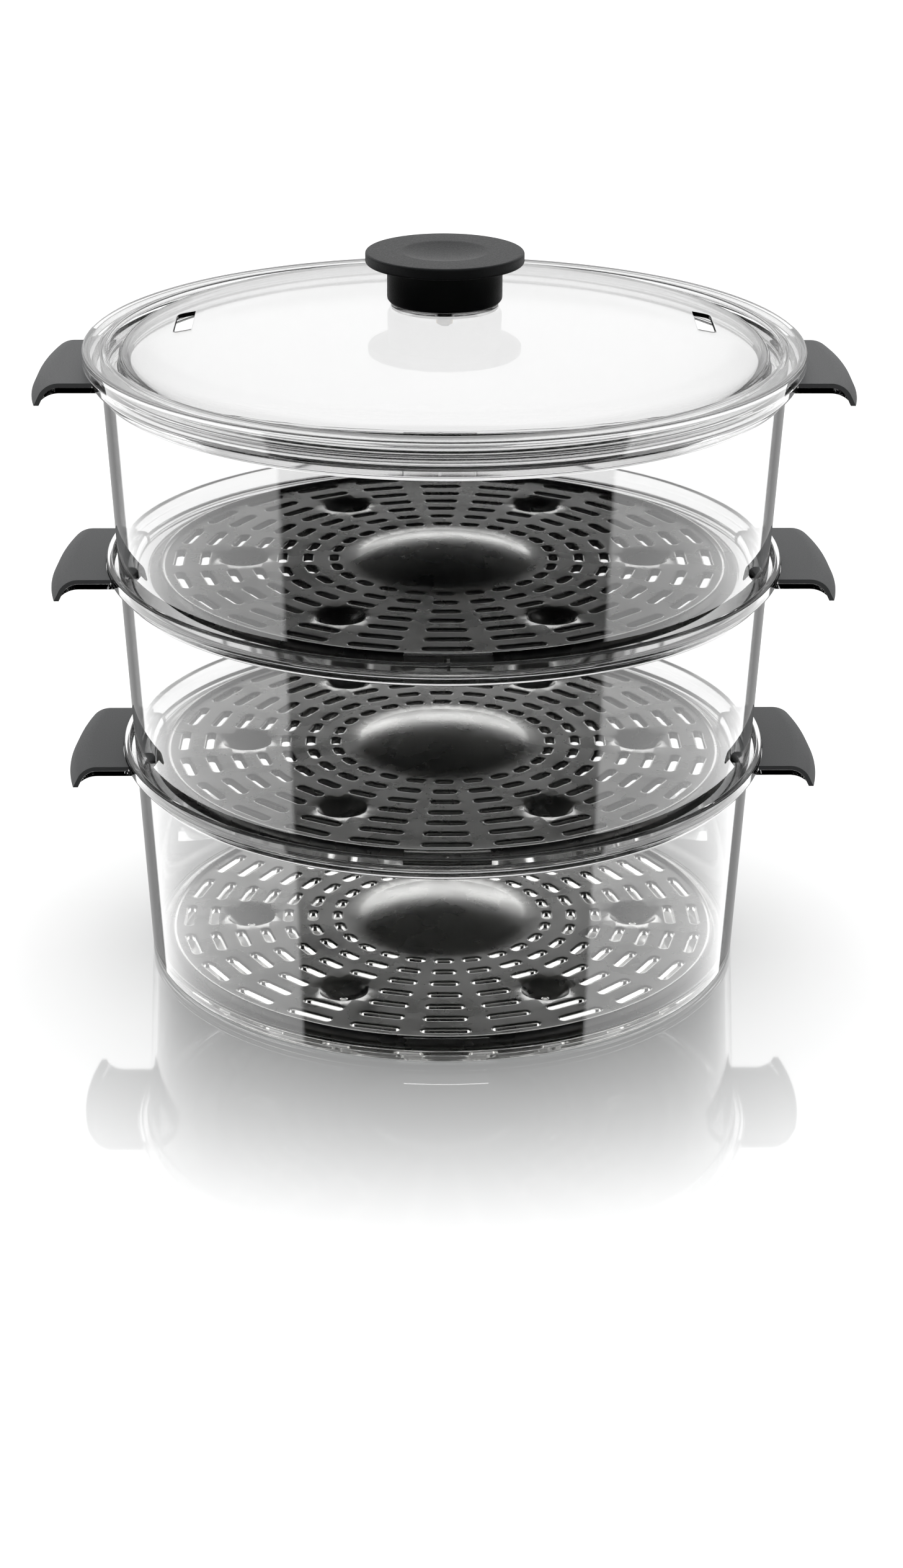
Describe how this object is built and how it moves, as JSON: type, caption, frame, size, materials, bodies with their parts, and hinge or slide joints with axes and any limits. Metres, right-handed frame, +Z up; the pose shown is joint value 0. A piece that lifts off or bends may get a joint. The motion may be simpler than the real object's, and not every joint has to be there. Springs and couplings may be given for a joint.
{
  "type": "food steamer basket stack",
  "caption": "Stack of round clear steaming baskets with perforated steel trays, grey handle covers and a domed clear lid with a black knob.",
  "frame": {"origin": "centre of the lowest basket's foot, on the surface it stands on", "axes": "+Z up through the knob; the handles lie along X; -Y is the side the picture was taken from"},
  "size_m": [0.3132, 0.2744, 0.2816],
  "materials": {
    "clear_plastic": "clear moulded plastic, polished",
    "tray_steel": "pressed stainless sheet, finely brushed",
    "grey_plastic": "fine-grained moulded plastic, mid grey",
    "black_plastic": "fine-grained moulded plastic, black",
    "insert_brass": "turned",
    "fixing_steel": "stainless, plain"
  },
  "bodies": {
    "bottom_basket": {"basket_1": "clear_plastic", "handle_cover_left_1": "grey_plastic", "handle_cover_right_1": "grey_plastic"},
    "middle_basket": {"basket_2": "clear_plastic", "handle_cover_left_2": "grey_plastic", "handle_cover_right_2": "grey_plastic"},
    "top_basket": {"basket_3": "clear_plastic", "handle_cover_left_3": "grey_plastic", "handle_cover_right_3": "grey_plastic"},
    "bottom_tray": {"tray_1": "tray_steel"},
    "middle_tray": {"tray_2": "tray_steel"},
    "top_tray": {"tray_3": "tray_steel"},
    "lid": {"lid": "clear_plastic", "knob": "black_plastic", "knob_insert": "insert_brass", "knob_washer": "fixing_steel", "knob_screw": "fixing_steel"}
  },
  "joints": [
    {"name": "middle_basket_lift", "type": "slide", "parent": "bottom_basket", "child": "middle_basket", "axis": [0, 0, 1], "range_m": [0, 0.09]},
    {"name": "top_basket_lift", "type": "slide", "parent": "middle_basket", "child": "top_basket", "axis": [0, 0, 1], "range_m": [0, 0.09]},
    {"name": "lid_lift", "type": "slide", "parent": "top_basket", "child": "lid", "axis": [0, 0, 1], "range_m": [0, 0.1]},
    {"name": "bottom_tray_lift", "type": "slide", "parent": "bottom_basket", "child": "bottom_tray", "axis": [0, 0, 1], "range_m": [0, 0.055]},
    {"name": "middle_tray_lift", "type": "slide", "parent": "middle_basket", "child": "middle_tray", "axis": [0, 0, 1], "range_m": [0, 0.055]},
    {"name": "top_tray_lift", "type": "slide", "parent": "top_basket", "child": "top_tray", "axis": [0, 0, 1], "range_m": [0, 0.055]}
  ]
}
